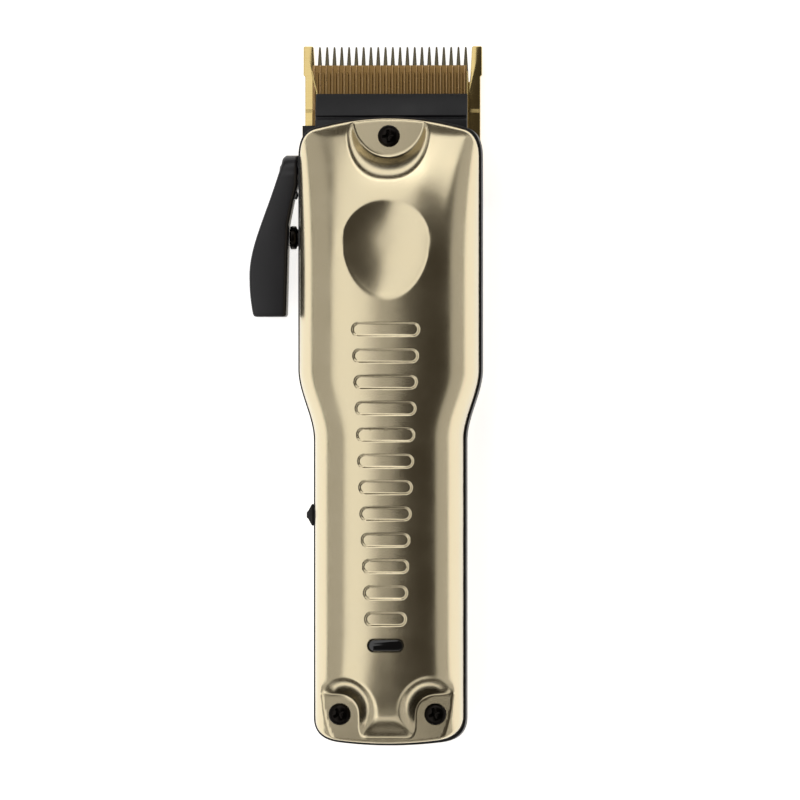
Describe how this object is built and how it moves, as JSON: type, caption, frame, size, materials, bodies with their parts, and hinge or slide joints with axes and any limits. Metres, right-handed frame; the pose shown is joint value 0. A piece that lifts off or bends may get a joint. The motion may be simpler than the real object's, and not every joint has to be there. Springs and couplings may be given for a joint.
{
  "type": "hair clipper",
  "caption": "Cordless hair clipper with a metal cover, toothed blades across its head, a side taper lever and a slide switch.",
  "frame": {"origin": "on the flat rear face, on the centre line, near the middle of the length", "axes": "+Y along the body towards the blade tips, +Z out of the front cover, +X to the right seen from the front"},
  "size_m": [0.0581, 0.175, 0.032],
  "materials": {
    "champagne_metal": "satin champagne gold",
    "black_nylon": "fine moulded texture",
    "black_lever": "satin black",
    "black_lens": "polished",
    "titanium_gold": "gold titanium coating",
    "bronze_cutter": "ground bronze coating",
    "black_screw": "black oxide",
    "bare_steel": "bright zinc",
    "white_nylon": "natural moulded",
    "copper_winding": "enamelled wire",
    "brass_metal": "turned",
    "ferrite": "sintered",
    "cell_wrap": "shrink sleeve",
    "grey_foam": "open foam",
    "green_board": "solder mask",
    "led_clear": "clear",
    "red_wire": "vinyl",
    "black_wire": "vinyl"
  },
  "bodies": {
    "body": {"battery_cell": "cell_wrap", "battery_lead_front": "red_wire", "battery_lead_rear": "black_wire", "battery_pad": "grey_foam", "battery_tab_front": "bare_steel", "battery_tab_rear": "bare_steel", "board_screw_1": "black_screw", "board_screw_2": "black_screw", "bracket_screw_left": "black_screw", "bracket_screw_right": "black_screw", "charging_jack": "black_nylon", "charging_pin": "brass_metal", "circuit_board": "green_board", "cover_screw_left": "black_screw", "cover_screw_right": "black_screw", "cover_screw_top": "black_screw", "cutter_guard": "black_nylon", "front_cover": "champagne_metal", "guard_screw_left": "black_screw", "guard_screw_right": "black_screw", "indicator_led": "led_clear", "indicator_lens": "black_lens", "lever_stop_knob": "black_screw", "magnet_left": "ferrite", "magnet_right": "ferrite", "mid_frame": "black_nylon", "motor_bracket": "bare_steel", "motor_can": "bare_steel", "motor_end_cap": "white_nylon", "motor_lead_left": "black_wire", "motor_lead_right": "red_wire", "motor_screw_left": "black_screw", "motor_screw_right": "black_screw", "motor_terminal_left": "brass_metal", "motor_terminal_right": "brass_metal", "rear_cover": "champagne_metal", "rear_screw_1": "black_screw", "rear_screw_2": "black_screw", "rear_screw_3": "black_screw", "switch_body": "black_nylon", "tension_spring": "bare_steel"},
    "taper_lever": {"taper_lever": "black_lever", "lever_pivot_screw": "black_screw", "lever_cam": "bare_steel"},
    "detent_plunger": {"detent_plunger": "black_screw"},
    "blade_carriage": {"blade_carriage": "bare_steel", "fixed_blade": "titanium_gold", "blade_screw_left": "black_screw", "blade_screw_right": "black_screw"},
    "cutter": {"cutter": "bronze_cutter", "drive_yoke": "white_nylon", "yoke_rivet_left": "bare_steel", "yoke_rivet_right": "bare_steel"},
    "rotor": {"armature": "copper_winding", "commutator": "brass_metal", "motor_shaft": "bare_steel", "eccentric": "brass_metal", "crank_bearing": "bare_steel"},
    "power_switch": {"switch_knob": "black_nylon"}
  },
  "joints": [
    {"name": "lever_swing", "type": "hinge", "parent": "body", "child": "taper_lever", "pos_m": [-0.0232, 0.0556, 0.012], "axis": [-1, 0, 0], "range_deg": [0, 38]},
    {"name": "plunger_press", "type": "slide", "parent": "taper_lever", "child": "detent_plunger", "axis": [-1, 0, 0], "range_m": [0, 0.0005], "stiffness_N_per_m": 300, "springref_m": -0.0005},
    {"name": "carriage_slide", "type": "slide", "parent": "body", "child": "blade_carriage", "axis": [0, 1, 0], "range_m": [-0.00197, 0]},
    {"name": "cutter_slide", "type": "slide", "parent": "body", "child": "cutter", "axis": [1, 0, 0], "range_m": [-0.0005, 0.0019]},
    {"name": "rotor_spin", "type": "hinge", "parent": "body", "child": "rotor", "pos_m": [0, 0.0296, 0.015], "axis": [0, 1, 0], "continuous": true},
    {"name": "switch_slide", "type": "slide", "parent": "body", "child": "power_switch", "axis": [0, 1, 0], "range_m": [0, 0.003]}
  ],
  "couplings": [
    {"joint": "carriage_slide", "follows": "lever_swing", "m_per_rad": -0.0029453}
  ]
}
